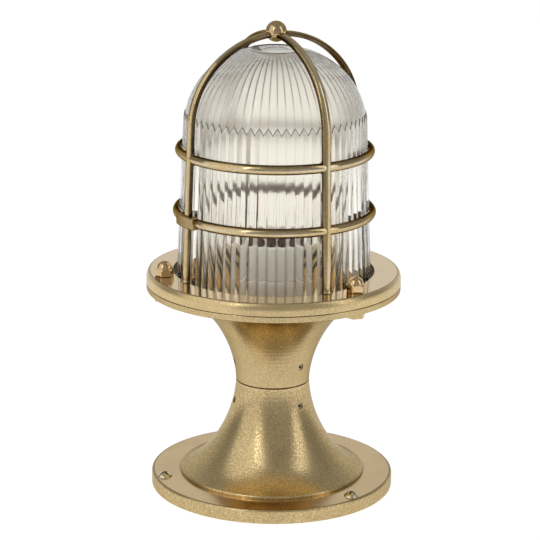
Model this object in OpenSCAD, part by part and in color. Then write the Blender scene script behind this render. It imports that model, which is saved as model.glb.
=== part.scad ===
// Brass pedestal light with a reeded glass dome under a ribbed guard.
// Origin: centre of the foot's underside. +Z is up, and the front faces -Y.

/* [Foot and bell] */
// Diameter of the round foot flange
base_d = 144.4; // [136:0.2:156]
// Thickness of the foot flange
base_t = 8.3; // [7:0.1:9]
// Diameter of the lip where the bell meets the foot flange
bell_foot_d = 110; // [108:0.5:111]
// Height of the seam at the waist
waist_z = 64.9; // [64:0.1:66]
// Diameter of the casting at the waist
waist_d = 43.7; // [42:0.1:46]
// Wall thickness of both hollow castings
cast_wall = 4; // [3.5:0.1:4.5]

/* [Ring flange] */
// Diameter of the flange and of the clamp ring on top of it
flange_d = 150; // [146:0.5:156]
// Height of the flange's underside
flange_z = 121.2; // [121:0.1:122]
// Thickness of the flange on the upper casting
flange_t = 3.7; // [3.4:0.1:4]
// Thickness of the clamp ring
clamp_t = 7.25; // [7:0.05:8]
// Diameter of the hole that the glass comes through
clamp_hole_d = 118.4; // [118:0.1:119]
// Gap that shows as the seam between the flange and the clamp ring
seam_gap = 0.25; // [0.2:0.05:0.3]

/* [Glass] */
// Diameter of the glass where it leaves the clamp ring
glass_foot_d = 114.3; // [113.5:0.1:114.6]
// Diameter over the reeds where they end
glass_top_d = 106.6; // [105.5:0.1:107]
// Height at which the crests of the reeds end
reed_top_z = 223.2; // [221:0.2:225]
// Height at which the dome's curve starts, behind the reeds
dome_z = 214; // [212:0.5:216]
// Rise of the full dome curve above that height
dome_rise = 51; // [49:0.2:52]
// Diameter of the flat button on the crown
button_d = 31.6; // [26:0.2:34]
// Thickness of the glass wall
glass_wall = 4; // [3.6:0.1:4.4]
// Number of reeds round the glass
reed_count = 66; // [60:1:72]
// Depth of the valleys between the reeds, at the foot
reed_depth = 0.95; // [0.7:0.05:1.1]

/* [Guard] */
// Width of the half-round bar
bar_w = 5.6; // [5:0.1:6]
// Depth of the half-round bar from its flat back to its crown
bar_d = 3.2; // [3:0.05:3.3]
// Height of the upper guard ring
upper_ring_z = 204.7; // [198:0.5:210]
// Height of the lower guard ring
lower_ring_z = 168.5; // [160:0.5:176]
// Height at which the ribs start to curve in
rib_arch_z = 222.1; // [220:0.1:224]
// Rise of the rib arch, to the middle of the bar
rib_rise = 50.3; // [50:0.1:52]
// Radius of the ball on the crown
ball_r = 5.9; // [5.5:0.1:6.5]
// Turn of the four ribs round the axis, from +X towards the front
rib_turn = 59; // [56:1:62]

/* [Fasteners] */
// Radius of the circle that the ring bolts stand on
bolt_circle_r = 65.9; // [65.8:0.1:66.4]
// Radius of the circle that the foot screws stand on
screw_circle_r = 66; // [64:0.5:67]
// Turn of the bolts, foot screws and grub screws, from +X towards the front
bolt_turn = 45; // [40:1:50]
// Width of the ring bolts' hexagon heads and nuts across the flats
hex_af = 10; // [9.8:0.1:10.2]
// Distance of the grub screws above and below the waist seam
grub_offset = 12.1; // [11:0.1:13]

/* [Lamp holder] */
// Diameter of the porcelain lamp holder
holder_d = 53; // [50:0.5:54]
// Height of the lamp holder's top
holder_top_z = 152; // [148:0.5:156]

/* [Hidden] */

brass = [0.80, 0.68, 0.43];
bright_brass = [0.86, 0.72, 0.42];
steel = [0.68, 0.68, 0.68];
rubber = [0.12, 0.12, 0.12];
porcelain = [0.93, 0.92, 0.88];
glass_tint = [0.90, 0.93, 0.90, 0.45];

round_fn = 128;
small_fn = 40;
cut = 0.1; // how far a cutter runs past the face it cuts

// castings
waist_r = waist_d / 2;
flare_power = 1.7;
bell_flare = [57.8, 45]; // height and spread of the bell's curve
trumpet_flare = [54.5, 44];
lip_h = 2.1; // height of the bell's lip over the foot flange
lip_round = 1.2;
sleeve_r = 17.4;
sleeve_bore_r = 14;
sleeve_half = 19;
sleeve_fit = 0.05;
cavity_lift = 3; // how far the hollow's curve stays behind the outer one
shelf_r = 40;
pocket_r = 48;
pocket_floor_z = 117.5;
trumpet_rim_r = 55.6;
seam_v = 0.5; // groove of the waist seam

// ring stack
flange_r = flange_d / 2;
flange_top_z = flange_z + flange_t;
clamp_z = flange_top_z + seam_gap;
clamp_top_z = clamp_z + clamp_t;
clamp_hole_r = clamp_hole_d / 2;
clamp_edge = [2, 4.4]; // width and height of the clamp ring's rounded edge
lip_t = 1.8; // thickness of the clamp ring's lip over the glass foot
recess_r = 61.9;
upper_gasket_t = 1.1;
lower_gasket_t = 1.3;
seal_gap = 0.2;

// glass
foot_flange_r = 61.5;
foot_flange_z = flange_top_z + lower_gasket_t + seal_gap;
foot_flange_t = 2.9;
glass_foot_r = glass_foot_d / 2;
glass_top_r = glass_top_d / 2;
button_r = button_d / 2;
reed_ledge = 0.4; // step from the reeds down to the dome
dome_power = 2.18; // 2 would be an ellipse, and more is fuller at the shoulder
dome_r = (glass_top_r - reed_ledge) / dome_share((reed_top_z - dome_z) / dome_rise);
button_angle = dome_angle(button_r);
button_z = dome_point(button_angle, dome_r, dome_rise)[1];
button_steps = [[-0.4, 0.45], [-1.9, 0.45], [-2.4, 0.05], [-6.8, 0.05], [-7.4, -0.3]]; // inwards and up
reed_turn = 1.5; // turn of the first valley, from +X towards the front
reed_pitch = 360 / reed_count;
reed_places = [-1, -0.65, 0, 0.65]; // points across a reed, from a valley over its crest
reed_fall = 0.7; // how much the dome has drawn in where the valleys end
line_depth = 0.2; // depth of the lines that run up the dome from the valleys
dome_steps = 9;
inside_steps = 10;

// guard
crown_h = 2; // part of the bar's depth that is rounded
crown_r = (pow(bar_w / 2, 2) + pow(crown_h, 2)) / (2 * crown_h);
rib_foot_r = 59.4; // middle of the bar at the foot
rib_arch_r = 56.1; // middle of the bar where the arch starts
rib_steps = 26;
rib_foot = [[0, 1.32], [0.5, 1.14], [1.5, 1]]; // heights over the ring, and growth of the bar there
ring_proud = 0.2; // how far the ribs stand out past the rings
ball_z = rib_arch_z + rib_rise + 1.6;
end_gap = 0.14; // gap between a rib's end and the ball
pad_half_angle = 9;
pad_t = 1.3;
pad_h = 7.2;

// fasteners
bolt_r = 2.95;
bolt_hole_r = 3.15;
bolt_head_h = 4;
nut_bore_r = 3.02;
nut_bore_h = 6.3;
nut_hex_h = 4.4;
nut_dome_r = 4.75;
nut_gap = 0.15;
screw_head_r = 4.5;
screw_shank_r = 2.1;
screw_sink_h = 2.4;
screw_crown_h = 2.4;
screw_clear = 0.1;
screw_bottom_z = 0.4;
grub_r = 2;
grub_l = 5.1;

// lamp holder
plate_t = 2;
plate_r = pocket_r - 0.4;
holder_r = holder_d / 2;
holder_z = pocket_floor_z + plate_t;
lamp_bore_r = 14.4;
shell_r = 13.2;
shell_t = 0.8;
shell_z = 127;
shell_top_z = holder_top_z - 3;
contact_z = 124;
cup_r = 23.3; // radius of the cup round the lamp's thread
cup_floor_z = 140;
groove_z = 131.5; // height of the groove round the holder
holder_screw_place = 18.9;
holder_screw_seat_z = 126;
plate_screw_place = 44;
plate_screw_r = 1.5;
holder_screw_r = 1.95;
grommet_place = 33;
earth_place = 34;

// radius of a flared casting at a distance from the waist
function flare_r(d, flare) = waist_r + flare[1] * (1 - sqrt(1 - pow(d / flare[0], flare_power)));
// distance from the waist at which a flare reaches a radius
function flare_d(r, flare) = flare[0] * pow(1 - pow(1 - (r - waist_r) / flare[1], 2), 1 / flare_power);
// points of a round corner, from angle a0 to a1
function corner(x, z, r, a0, a1, n = 5) = [for (i = [0:n]) let (a = a0 + (a1 - a0) * i / n)
    [x + r * cos(a), z + r * sin(a)]];
// radius over the reeds at a height
function glass_r(z) = glass_foot_r
    + (glass_top_r - glass_foot_r) * (z - clamp_top_z) / (reed_top_z - clamp_top_z);
// share of the dome's radius at a share of its rise
function dome_share(rise) = pow(1 - pow(rise, dome_power), 1 / dome_power);
// point of a dome's curve as [radius, height] at an angle
function dome_point(a, r, rise) =
    [r * pow(cos(a), 2 / dome_power), dome_z + rise * pow(sin(a), 2 / dome_power)];
// angle at which the outer curve has a radius
function dome_angle(r) = acos(pow(r / dome_r, dome_power / 2));
// middle of a guard bar on its rib, at a height below the arch
function rib_r(z) = rib_foot_r
    + (rib_arch_r - rib_foot_r) * (z - clamp_top_z) / (rib_arch_z - clamp_top_z);

module at_three(r) {
    for (k = [0:2])
        rotate([0, 0, -bolt_turn - 120 * k])
            translate([r, 0, 0])
                children();
}

module tube(r_out, r_in, z0, z1, fn = round_fn) {
    translate([0, 0, z0])
        difference() {
            cylinder(r = r_out, h = z1 - z0, $fn = fn);
            translate([0, 0, -cut])
                cylinder(r = r_in, h = z1 - z0 + 2 * cut, $fn = fn);
        }
}

module lower_pedestal() {
    lip_z = base_t + lip_h;
    bell_end_r = bell_foot_d / 2 - lip_round;
    bell_end = flare_d(bell_end_r, bell_flare);
    cavity_top = sleeve_half;
    cavity_end = waist_z - base_t - cavity_lift;
    n = 34;
    outside = [for (i = [0:n]) let (d = bell_end * sin(90 * i / n))
        [flare_r(d, bell_flare), waist_z - d]];
    inside = [for (i = [0:12]) let (d = cavity_end + (cavity_top - cavity_end) * i / 12)
        [flare_r(d - cavity_lift, bell_flare) - cast_wall, waist_z - d]];
    color(brass)
        difference() {
            rotate_extrude($fn = round_fn)
                polygon(concat(
                    [[waist_r - seam_v, waist_z]],
                    [[waist_r, waist_z - seam_v]],
                    [for (p = outside) if (p[1] < waist_z - 1) p],
                    corner(bell_foot_d / 2 - lip_round, lip_z - lip_round, lip_round, 60, 0, 3),
                    [[bell_foot_d / 2, base_t]],
                    corner(base_d / 2 - 1.2, base_t - 1.2, 1.2, 90, 0),
                    corner(base_d / 2 - 0.5, 0.5, 0.5, 0, -90, 2),
                    [[inside[0][0], 0]],
                    inside,
                    [[sleeve_r + sleeve_fit, waist_z - sleeve_half]],
                    [[sleeve_r + sleeve_fit, waist_z]]));
            at_three(screw_circle_r) {
                translate([0, 0, -cut])
                    cylinder(r = screw_shank_r + screw_clear, h = base_t + 2 * cut, $fn = small_fn);
                translate([0, 0, base_t - screw_sink_h])
                    cylinder(r1 = screw_shank_r + screw_clear, r2 = screw_head_r + screw_clear,
                        h = screw_sink_h, $fn = small_fn);
                translate([0, 0, base_t - cut])
                    cylinder(r = screw_head_r + screw_clear, h = 2 * cut, $fn = small_fn);
            }
            grub_holes(waist_z - grub_offset);
        }
}

module grub_holes(z) {
    for (k = [0:2])
        rotate([0, 0, -bolt_turn - 120 * k])
            translate([sleeve_r - 2, 0, z])
                rotate([0, 90, 0])
                    cylinder(r = grub_r + sleeve_fit, h = 12, $fn = small_fn);
}

module grub_screws(z) {
    color(steel)
        for (k = [0:2])
            rotate([0, 0, -bolt_turn - 120 * k])
                translate([sleeve_r, 0, z])
                    rotate([0, 90, 0])
                        difference() {
                            cylinder(r = grub_r, h = grub_l, $fn = small_fn);
                            translate([0, 0, grub_l - 2])
                                cylinder(r = 1.15, h = 2 + cut, $fn = 6);
                        }
}

module base_screws() {
    cross_w = 1.2;
    cross_l = 5.4;
    cross_depth = 2.2;
    cross_turn = 20;
    cap_r = (pow(screw_head_r, 2) + pow(screw_crown_h, 2)) / (2 * screw_crown_h);
    color(bright_brass)
        at_three(screw_circle_r)
            difference() {
                union() {
                    translate([0, 0, screw_bottom_z])
                        cylinder(r = screw_shank_r, h = base_t - screw_bottom_z - 1, $fn = small_fn);
                    translate([0, 0, base_t - screw_sink_h])
                        cylinder(r1 = screw_shank_r, r2 = screw_head_r, h = screw_sink_h, $fn = small_fn);
                    intersection() {
                        translate([0, 0, base_t + screw_crown_h - cap_r])
                            sphere(r = cap_r, $fn = 64);
                        translate([0, 0, base_t])
                            cylinder(r = screw_head_r, h = screw_crown_h + cut, $fn = small_fn);
                    }
                }
                for (a = [0, 90])
                    rotate([0, 0, cross_turn + a])
                        translate([-cross_l / 2, -cross_w / 2, base_t + screw_crown_h - cross_depth])
                            cube([cross_l, cross_w, cross_depth + cut]);
            }
}

module joining_sleeve() {
    color(brass)
        tube(sleeve_r, sleeve_bore_r, waist_z - sleeve_half, waist_z + sleeve_half);
}

module upper_pedestal() {
    plate_hole_depth = 4.1;
    rim_end = flare_d(trumpet_rim_r, trumpet_flare);
    shelf_d = flare_d(shelf_r + cast_wall, trumpet_flare) + cavity_lift;
    n = 30;
    outside = [for (i = [0:n]) let (d = rim_end * sin(90 * i / n))
        [flare_r(d, trumpet_flare), waist_z + d]];
    inside = [for (i = [0:12]) let (d = sleeve_half + (shelf_d - sleeve_half) * i / 12)
        [flare_r(d - cavity_lift, trumpet_flare) - cast_wall, waist_z + d]];
    color(brass)
        difference() {
            rotate_extrude($fn = round_fn)
                polygon(concat(
                    [[waist_r - seam_v, waist_z]],
                    [[waist_r, waist_z + seam_v]],
                    [for (p = outside) if (p[1] > waist_z + 1) p],
                    [[trumpet_rim_r, flange_z]],
                    corner(flange_r - 0.8, flange_z + 0.8, 0.8, -90, 0, 3),
                    corner(flange_r - 0.3, flange_top_z - 0.3, 0.3, 0, 90, 2),
                    [[pocket_r, flange_top_z], [pocket_r, pocket_floor_z], [shelf_r, pocket_floor_z]],
                    [for (i = [12:-1:0]) inside[i]],
                    [[sleeve_r + sleeve_fit, waist_z + sleeve_half]],
                    [[sleeve_r + sleeve_fit, waist_z]]));
            at_three(bolt_circle_r)
                translate([0, 0, flange_z - cut])
                    cylinder(r = bolt_hole_r, h = flange_t + 2 * cut, $fn = small_fn);
            for (s = [-1, 1])
                translate([s * plate_screw_place, 0, pocket_floor_z - plate_hole_depth])
                    cylinder(r = plate_screw_r + sleeve_fit, h = plate_hole_depth + cut, $fn = small_fn);
            grub_holes(waist_z + grub_offset);
        }
}

module ring_bolts() {
    tip_z = clamp_top_z + nut_gap + nut_bore_h - 0.6;
    color(brass)
        at_three(bolt_circle_r) {
            translate([0, 0, flange_z - bolt_head_h])
                cylinder(d = hex_af / cos(30), h = bolt_head_h, $fn = 6);
            translate([0, 0, flange_z - 0.5])
                cylinder(r = bolt_r, h = tip_z - flange_z + 0.5, $fn = small_fn);
        }
}

module holder_plate() {
    color(brass)
        difference() {
            translate([0, 0, pocket_floor_z])
                cylinder(r = plate_r, h = plate_t, $fn = round_fn);
            for (s = [-1, 1]) {
                translate([s * plate_screw_place, 0, pocket_floor_z - cut])
                    cylinder(r = 1.6, h = plate_t + 2 * cut, $fn = small_fn);
                translate([s * holder_screw_place, 0, pocket_floor_z - cut])
                    cylinder(r = 2, h = plate_t + 2 * cut, $fn = small_fn);
            }
            translate([0, grommet_place, pocket_floor_z - cut])
                cylinder(r = 4.5, h = plate_t + 2 * cut, $fn = small_fn);
            translate([0, -earth_place, pocket_floor_z - cut])
                cylinder(r = 2, h = plate_t + 2 * cut, $fn = small_fn);
        }
}

module pan_screw(r, l, head_r, head_h) {
    translate([0, 0, -l])
        cylinder(r = r, h = l + 0.2, $fn = small_fn);
    difference() {
        cylinder(r = head_r, h = head_h, $fn = small_fn);
        translate([-head_r - cut, -0.45, head_h * 0.55])
            cube([2 * head_r + 2 * cut, 0.9, head_h]);
    }
}

module plate_screws() {
    color(steel)
        for (s = [-1, 1])
            translate([s * plate_screw_place, 0, holder_z])
                pan_screw(plate_screw_r, plate_t + 4, 2.9, 1.8);
}

module earth_screw() {
    color(bright_brass)
        translate([0, -earth_place, holder_z])
            pan_screw(holder_screw_r, plate_t + 4, 3.6, 2.4);
}

module cable_grommet() {
    color(rubber)
        translate([0, grommet_place, pocket_floor_z])
            rotate_extrude($fn = 48)
                polygon([[3, -1.2], [6.2, -1.2], [6.2, -0.05], [4.4, -0.05], [4.4, plate_t + 0.05],
                    [6.2, plate_t + 0.05], [6.2, plate_t + 1.2], [3, plate_t + 1.2]]);
}

module lamp_holder() {
    edge = 1.4;
    rim = 0.8;
    groove = 0.8;
    head_hole_r = 3.7;
    color(porcelain)
        difference() {
            rotate_extrude($fn = round_fn)
                polygon(concat(
                    [[0, holder_z], [holder_r - 0.6, holder_z], [holder_r, holder_z + 0.6]],
                    [[holder_r, groove_z - groove], [holder_r - groove, groove_z]],
                    [[holder_r, groove_z + groove]],
                    corner(holder_r - edge, holder_top_z - edge, edge, 0, 90, 4),
                    corner(cup_r + rim, holder_top_z - rim, rim, 90, 180, 3),
                    [[cup_r, cup_floor_z], [lamp_bore_r, cup_floor_z]],
                    [[lamp_bore_r, contact_z], [0, contact_z]]));
            for (s = [-1, 1])
                translate([s * holder_screw_place, 0, 0]) {
                    translate([0, 0, holder_z - cut])
                        cylinder(r = holder_screw_r + 0.25, h = holder_screw_seat_z - holder_z + 1,
                            $fn = small_fn);
                    translate([0, 0, holder_screw_seat_z])
                        cylinder(r = head_hole_r, h = holder_top_z - holder_screw_seat_z, $fn = small_fn);
                }
        }
}

module threaded_shell() {
    color(bright_brass)
        tube(shell_r + shell_t, shell_r, shell_z, shell_top_z);
}

module centre_contact() {
    color(bright_brass)
        translate([0, 0, contact_z]) {
            cylinder(r = 6, h = 0.8, $fn = small_fn);
            cylinder(r = 3.2, h = 2, $fn = small_fn);
        }
}

module holder_screws() {
    color(steel)
        for (s = [-1, 1])
            translate([s * holder_screw_place, 0, holder_screw_seat_z])
                pan_screw(holder_screw_r, holder_screw_seat_z - pocket_floor_z + 1.5, 3.4, 2.3);
}

module lower_gasket() {
    color(rubber)
        tube(foot_flange_r, pocket_r + 2, flange_top_z, flange_top_z + lower_gasket_t);
}

module upper_gasket() {
    z = clamp_top_z - lip_t;
    color(rubber)
        tube(recess_r, glass_foot_r + 0.5, z - upper_gasket_t, z);
}

// Drop of a reed's round face below its crest at a place across it, for a depth and a glass radius.
function reed_drop(place, depth, r) = let (half_w = PI * r / reed_count,
    round_r = (pow(half_w, 2) + pow(depth, 2)) / (2 * depth))
    round_r - sqrt(pow(round_r, 2) - pow(place * half_w, 2));

// Angle on the dome's curve at which a reed ends, highest in the valleys.
function reed_end(place) = dome_angle(glass_top_r - reed_ledge - reed_drop(place, reed_fall, glass_top_r));

// Points across one reed as [radius, height], at a share of the reed's length.
function reed_row(share) = [for (place = reed_places) let (
    z = foot_flange_z + foot_flange_t,
    foot = [glass_r(z) - reed_drop(place, reed_depth, glass_foot_r), z],
    top = dome_point(reed_end(place), dome_r, dome_rise) + [reed_ledge, 0])
    foot + (top - foot) * share];

// The same on the dome, at a share of its curve, with a fine line above each valley.
function dome_row(share) = [for (place = reed_places) let (
    a0 = reed_end(place) + 0.4,
    a = a0 + (button_angle - a0) * share,
    line = abs(place) == 1 ? line_depth * sin(180 * share) : 0)
    dome_point(a, dome_r, dome_rise) - line * [cos(a), sin(a)]];

// A ring with one point above each valley, and one with the points across each reed.
function ring_point(r, z, a) = [r * cos(a), r * sin(a), z];
function valley_ring(r, z) = [for (k = [0:reed_count - 1]) ring_point(r, z, k * reed_pitch)];
function reed_ring(row) = [for (k = [0:reed_count - 1]) each [for (i = [0:len(row) - 1])
    ring_point(row[i][0], row[i][1], (k + (reed_places[i] + 1) / 2) * reed_pitch)]];

// Triangles between two rings, where one may have fewer points or be a single one.
function mate(j, size, n) = round(j * size / n) % size;
function stitch(a, size_a, b, size_b) = let (n = max(size_a, size_b)) [for (j = [0:n - 1]) let (
    a0 = a + mate(j, size_a, n), a1 = a + mate(j + 1, size_a, n),
    b0 = b + mate(j, size_b, n), b1 = b + mate(j + 1, size_b, n))
    each concat(a0 == a1 ? [] : [[a0, b1, a1]], b0 == b1 ? [] : [[a0, b0, b1]])];
function ring_start(rings, i) = i == 0 ? 0 : ring_start(rings, i - 1) + len(rings[i - 1]);

module glass_dome() {
    in_r = dome_r - glass_wall;
    in_rise = button_z - dome_z - glass_wall;
    foot_top_z = foot_flange_z + foot_flange_t;
    button_last = button_steps[len(button_steps) - 1];
    rings = concat(
        [valley_ring(glass_foot_r - glass_wall, foot_flange_z)],
        [for (z = [foot_flange_z, foot_top_z]) valley_ring(foot_flange_r, z)],
        [for (share = [0:0.5:1]) reed_ring(reed_row(share))],
        [for (i = [0:dome_steps]) reed_ring(dome_row(i / dome_steps))],
        [for (step = button_steps) valley_ring(button_r + step[0], button_z + step[1])],
        [[[0, 0, button_z + button_last[1]]]],
        [[[0, 0, dome_z + in_rise]]],
        [for (i = [inside_steps - 1:-1:0]) let (p = dome_point(90 * i / inside_steps, in_r, in_rise))
            valley_ring(p[0], p[1])]);
    count = len(rings);
    faces = [for (i = [0:count - 1]) let (next = (i + 1) % count)
        each stitch(ring_start(rings, i), len(rings[i]), ring_start(rings, next), len(rings[next]))];
    color(glass_tint)
        rotate([0, 0, -reed_turn])
            polyhedron(points = [for (ring = rings) each ring], faces = faces, convexity = 6);
}

module clamp_ring() {
    n = 12;
    edge = [for (i = [0:n]) let (a = 90 * i / n)
        [flange_r - clamp_edge[0] * (1 - cos(a)), clamp_top_z - clamp_edge[1] * (1 - sin(a))]];
    color(brass)
        difference() {
            rotate_extrude($fn = round_fn)
                polygon(concat(
                    [[recess_r, clamp_z]],
                    corner(flange_r - 0.3, clamp_z + 0.3, 0.3, -90, 0, 2),
                    edge,
                    [[clamp_hole_r, clamp_top_z], [clamp_hole_r, clamp_top_z - lip_t]],
                    [[recess_r, clamp_top_z - lip_t]]));
            at_three(bolt_circle_r)
                translate([0, 0, clamp_z - cut])
                    cylinder(r = bolt_hole_r, h = clamp_t + 2 * cut, $fn = small_fn);
        }
}

// The bar's section, with its flat back at -bar_d / 2: [across, out].
function bar_section(n = 8) = let (mid = bar_d / 2 - crown_r, a0 = asin(bar_w / 2 / crown_r))
    concat([for (i = [0:4]) [bar_w * (i / 4 - 0.5), -bar_d / 2]],
        [for (i = [0:n]) let (a = a0 - 2 * a0 * i / n) [crown_r * sin(a), mid + crown_r * cos(a)]]);

// Middle line of a rib, as [radius, height, lean of the section from level, growth].
function rib_line() = concat(
    [for (f = rib_foot) [rib_r(clamp_top_z + f[0]), clamp_top_z + f[0], 0, f[1]]],
    [for (i = [0:rib_steps - 1]) let (a = 90 * i / rib_steps)
        [rib_arch_r * cos(a), rib_arch_z + rib_rise * sin(a),
            atan2(rib_arch_r * sin(a), rib_rise * cos(a)), 1]]);

// A point of a rib's section carried along its middle line. Growth leaves the bar's back where it is.
function rib_point(place, s) = let (out = (s[1] + bar_d / 2) * place[3] - bar_d / 2)
    [place[0] + out * cos(place[2]), s[0] * place[3], place[1] + out * sin(place[2])];

// The same point on the rib's end, which fits against the ball. Inner rings take a share below 1.
function rib_end_point(s, share = 1) = let (y = s[0] * share, z = rib_arch_z + rib_rise + s[1] * share)
    [sqrt(pow(ball_r + end_gap, 2) - pow(y, 2) - pow(z - ball_z, 2)), y, z];

module guard_rib(k) {
    section = bar_section();
    m = len(section);
    path = [for (p = rib_line()) if (p[0] > ball_r + 1.5) p];
    n = len(path);
    points = concat(
        [for (p = path) each [for (s = section) rib_point(p, s)]],
        [for (share = [1, 0.5]) each [for (s = section) rib_end_point(s, share)]],
        [rib_end_point([0, 0])]);
    sides = [for (i = [0:n]) each [for (j = [0:m - 1]) let (j2 = (j + 1) % m)
        each [[i * m + j, i * m + j2, (i + 1) * m + j2], [i * m + j, (i + 1) * m + j2, (i + 1) * m + j]]]];
    foot = [[for (j = [m - 1:-1:0]) j]];
    end = [for (j = [0:m - 1]) [(n + 1) * m + j, (n + 1) * m + (j + 1) % m, (n + 2) * m]];
    color(brass)
        rotate([0, 0, -rib_turn - 90 * k])
            polyhedron(points = points, faces = concat(sides, foot, end), convexity = 4);
}

module guard_rib_1() { guard_rib(0); }
module guard_rib_2() { guard_rib(1); }
module guard_rib_3() { guard_rib(2); }
module guard_rib_4() { guard_rib(3); }

module bar_profile(outer_r) {
    translate([outer_r - bar_d, -bar_w / 2])
        square([bar_d - crown_h, bar_w]);
    intersection() {
        translate([outer_r - crown_r, 0])
            circle(r = crown_r, $fn = 48);
        translate([outer_r - crown_h - 0.01, -bar_w / 2])
            square([crown_h + 1, bar_w]);
    }
}

module rib_slots(outer_r, half) {
    reach = 10;
    for (k = [0:3])
        rotate([0, 0, -rib_turn - 90 * k])
            translate([outer_r - reach, -half[k], -reach])
                cube([2 * reach, 2 * half[k], 2 * reach]);
}

module guard_ring(z, half) {
    outer_r = rib_r(z) + bar_d / 2 - ring_proud;
    color(brass)
        translate([0, 0, z])
            difference() {
                rotate_extrude($fn = round_fn)
                    bar_profile(outer_r);
                rib_slots(outer_r, half);
            }
}

rib_half = bar_w / 2;
pad_half = (rib_r(lower_ring_z) + bar_d / 2) * sin(pad_half_angle);

module upper_guard_ring() { guard_ring(upper_ring_z, [rib_half, rib_half, rib_half, rib_half]); }
module lower_guard_ring() { guard_ring(lower_ring_z, [rib_half, pad_half, rib_half, rib_half]); }

module plain_pad() {
    crown = rib_r(lower_ring_z) + bar_d / 2;
    back = crown - bar_d - ring_proud;
    slot_clear = 0.05;
    color(brass)
        rotate([0, 0, -rib_turn - 90])
            difference() {
                intersection() {
                    translate([0, 0, lower_ring_z - pad_h / 2])
                        tube(crown + pad_t, back, 0, pad_h);
                    translate([0, -pad_half, lower_ring_z - pad_h])
                        cube([flange_r, 2 * pad_half, 2 * pad_h]);
                }
                translate([0, -rib_half, lower_ring_z - pad_h])
                    cube([crown + slot_clear, 2 * rib_half, 2 * pad_h]);
            }
}

module ball_finial() {
    color(bright_brass)
        translate([0, 0, ball_z])
            sphere(r = ball_r, $fn = 64);
}

module cap_nut(k) {
    color(bright_brass)
        rotate([0, 0, -bolt_turn - 120 * k])
            translate([bolt_circle_r, 0, clamp_top_z + nut_gap])
                difference() {
                    union() {
                        intersection() {
                            cylinder(d = hex_af / cos(30), h = nut_hex_h, $fn = 6);
                            cylinder(r1 = hex_af / 2 + 3.4, r2 = hex_af / 2 + 0.05, h = nut_hex_h, $fn = 48);
                        }
                        translate([0, 0, nut_hex_h - 0.3])
                            sphere(r = nut_dome_r, $fn = 48);
                    }
                    translate([0, 0, -hex_af])
                        cube(2 * hex_af, center = true);
                    translate([0, 0, -cut])
                        cylinder(r = nut_bore_r, h = nut_bore_h + cut, $fn = small_fn);
                }
}

module cap_nut_1() { cap_nut(0); }
module cap_nut_2() { cap_nut(1); }
module cap_nut_3() { cap_nut(2); }
module lower_grub_screws() { grub_screws(waist_z - grub_offset); }
module upper_grub_screws() { grub_screws(waist_z + grub_offset); }

lower_pedestal();
base_screws();
joining_sleeve();
lower_grub_screws();
upper_grub_screws();
upper_pedestal();
ring_bolts();
holder_plate();
plate_screws();
earth_screw();
cable_grommet();
lamp_holder();
threaded_shell();
centre_contact();
holder_screws();
lower_gasket();
glass_dome();
clamp_ring();
upper_gasket();
guard_rib_1();
guard_rib_2();
guard_rib_3();
guard_rib_4();
upper_guard_ring();
lower_guard_ring();
plain_pad();
ball_finial();
cap_nut_1();
cap_nut_2();
cap_nut_3();
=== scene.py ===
import math

import bmesh
import bpy
from mathutils import Matrix, Vector


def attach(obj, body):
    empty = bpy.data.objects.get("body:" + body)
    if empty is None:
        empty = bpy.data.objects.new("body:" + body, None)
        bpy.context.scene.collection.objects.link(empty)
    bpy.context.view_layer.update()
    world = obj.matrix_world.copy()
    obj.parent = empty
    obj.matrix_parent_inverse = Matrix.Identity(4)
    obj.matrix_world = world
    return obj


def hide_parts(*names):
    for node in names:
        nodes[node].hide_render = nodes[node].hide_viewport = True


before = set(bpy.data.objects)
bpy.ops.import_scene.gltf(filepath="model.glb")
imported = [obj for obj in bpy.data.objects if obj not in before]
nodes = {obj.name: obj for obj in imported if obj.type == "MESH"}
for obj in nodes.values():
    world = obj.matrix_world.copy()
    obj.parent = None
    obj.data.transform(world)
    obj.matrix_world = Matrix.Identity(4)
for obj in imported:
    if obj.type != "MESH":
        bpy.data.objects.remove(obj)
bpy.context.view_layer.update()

MM = 0.001
scene = bpy.context.scene


# Sizes, in millimetres
CLAMP_TOP = 132.4
BOLT_RADIUS = 65.9
BOLT_TURNS = [-45, -165, 75]
RIB_TURNS = [-59, -149, 121, 31]
BAR_WIDTH, BAR_DEPTH, BAR_CROWN = 5.6, 3.2, 2.0
RIB_FOOT, RIB_ARCH, ARCH_Z, ARCH_RISE = 59.4, 56.1, 222.1, 50.3
RING_Z = {"upper_guard_ring": 204.7, "lower_guard_ring": 168.5}
RING_SUNK = 0.2
BALL_RADIUS = 5.9


# Mesh helpers
def finish_piece(bm, name, body, finish, replaces=(), sharp=30):
    mesh = bpy.data.meshes.new(name)
    bm.to_mesh(mesh)
    bm.free()
    mesh.transform(Matrix.Scale(MM, 4))
    mesh.shade_smooth()
    mesh.set_sharp_from_angle(angle=math.radians(sharp))
    mesh.materials.append(finish)
    piece = bpy.data.objects.new(name, mesh)
    scene.collection.objects.link(piece)
    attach(piece, body)
    if replaces:
        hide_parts(*replaces)
    return piece


def close_up(bm):
    bmesh.ops.remove_doubles(bm, verts=bm.verts, dist=1e-4)
    bmesh.ops.recalc_face_normals(bm, faces=bm.faces)


def chain(bm, points, closed=False):
    verts = [bm.verts.new((r, 0, z)) for r, z in points]
    edges = [bm.edges.new(pair) for pair in zip(verts, verts[1:])]
    if closed:
        edges.append(bm.edges.new((verts[-1], verts[0])))
    return verts + edges


def spin(bm, geom, steps, angle=360.0, centre=(0, 0, 0), axis=(0, 0, 1)):
    whole = angle == 360.0
    return bmesh.ops.spin(bm, geom=geom, cent=centre, axis=axis, angle=math.radians(angle), steps=steps,
                          use_merge=whole)


def turn_about_axis(bm, verts, degrees):
    bmesh.ops.rotate(bm, verts=verts, cent=(0, 0, 0), matrix=Matrix.Rotation(math.radians(degrees), 3, "Z"))


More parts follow.
